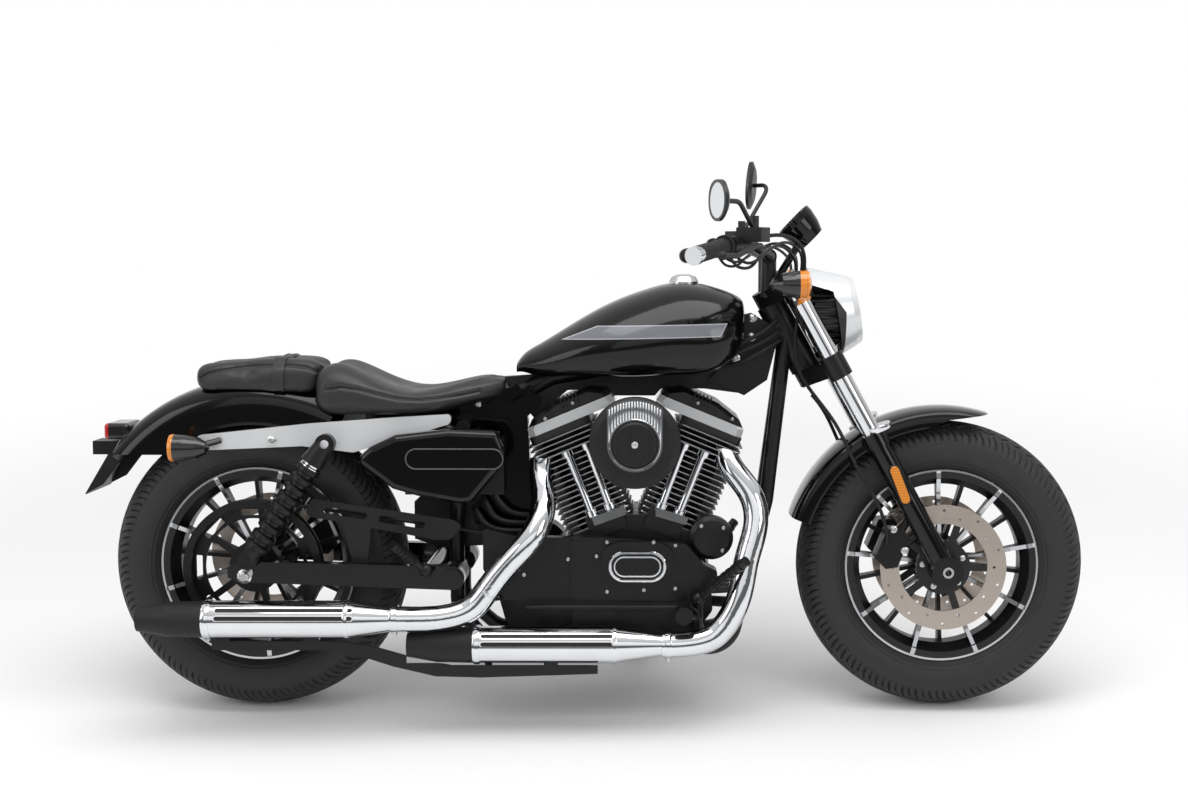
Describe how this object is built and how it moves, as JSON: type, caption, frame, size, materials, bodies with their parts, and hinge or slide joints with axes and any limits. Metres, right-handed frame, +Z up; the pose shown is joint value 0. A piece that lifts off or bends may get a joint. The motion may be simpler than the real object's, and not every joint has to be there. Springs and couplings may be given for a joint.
{
  "type": "cruiser motorcycle",
  "caption": "Cruiser motorcycle with an air-cooled V-twin engine, belt drive, low seat and pillion pad, resting on its side stand.",
  "frame": {"origin": "centre of the bounding box of the leaning motorcycle, on the ground", "axes": "+X towards the front wheel, +Y to the rider's left, +Z up from the ground"},
  "size_m": [2.215, 0.94, 1.2165],
  "materials": {
    "black_plastic": "textured black plastic",
    "case_black": "black powder-coated aluminium",
    "chrome": "bright chrome plate",
    "clear_glass": "clear lens",
    "engine_black": "black enamel with bright fin edges",
    "gloss_black": "gloss black paint",
    "leather": "black leather",
    "red_lens": "red lens",
    "rubber": "black rubber",
    "satin_black": "satin black coating",
    "satin_wheel": "black-coated cast aluminium",
    "silver": "polished aluminium",
    "steel": "brushed stainless steel",
    "tyre": "moulded rubber"
  },
  "bodies": {
    "chassis": {"air_cleaner": "black_plastic", "air_cleaner_cover": "chrome", "belt_guard": "black_plastic", "crankcase": "case_black", "cylinders": "engine_black", "drive_belt": "rubber", "engine_covers": "case_black", "exhaust_pipes": "chrome", "fender_struts": "silver", "footrests": "rubber", "frame": "satin_black", "fuel_cap": "chrome", "fuel_tank": "gloss_black", "pillion_pad": "leather", "plate_bracket": "black_plastic", "pushrod_tubes": "chrome", "rear_axle": "steel", "rear_caliper": "case_black", "rear_fender": "gloss_black", "rear_signals": "gloss_black", "rider_seat": "leather", "rocker_covers": "case_black", "shocks": "satin_black", "side_covers": "gloss_black", "silencer_ends": "satin_black", "swingarm": "satin_black", "tail_lamp": "red_lens"},
    "steering": {"front_axle": "steel", "fork_sliders": "case_black", "fork_tubes": "chrome", "fork_clamps": "satin_black", "handlebar": "satin_black", "grips": "rubber", "hand_controls": "black_plastic", "mirrors": "black_plastic", "headlamp_shell": "gloss_black", "headlamp_lens": "clear_glass", "headlamp_hood": "silver", "speedometer": "gloss_black", "front_signals": "gloss_black", "front_fender": "gloss_black", "front_calipers": "case_black", "front_hoses": "rubber"},
    "front_wheel": {"front_tyre": "tyre", "front_wheel": "satin_wheel", "front_discs": "steel"},
    "rear_wheel": {"rear_tyre": "tyre", "rear_wheel": "satin_wheel", "rear_disc": "steel", "rear_pulley": "satin_black"},
    "side_stand": {"side_stand": "satin_black"}
  },
  "joints": [
    {"name": "steering", "type": "hinge", "parent": "chassis", "child": "steering", "pos_m": [0.73784, -0.13091, 0.29265], "axis": [-0.4818, 0.1522, 0.863], "range_deg": [-35, 35]},
    {"name": "front_wheel_spin", "type": "hinge", "parent": "steering", "child": "front_wheel", "pos_m": [0.78603, -0.12631, 0.31874], "axis": [0, 0.9848, -0.1736], "continuous": true},
    {"name": "rear_wheel_spin", "type": "hinge", "parent": "chassis", "child": "rear_wheel", "pos_m": [-0.73597, -0.1255, 0.32335], "axis": [0, 0.9848, -0.1736], "continuous": true},
    {"name": "side_stand_fold", "type": "hinge", "parent": "chassis", "child": "side_stand", "pos_m": [0.06503, -0.02606, 0.1156], "axis": [0, 0.6018, 0.7986], "range_deg": [0, 90]}
  ]
}
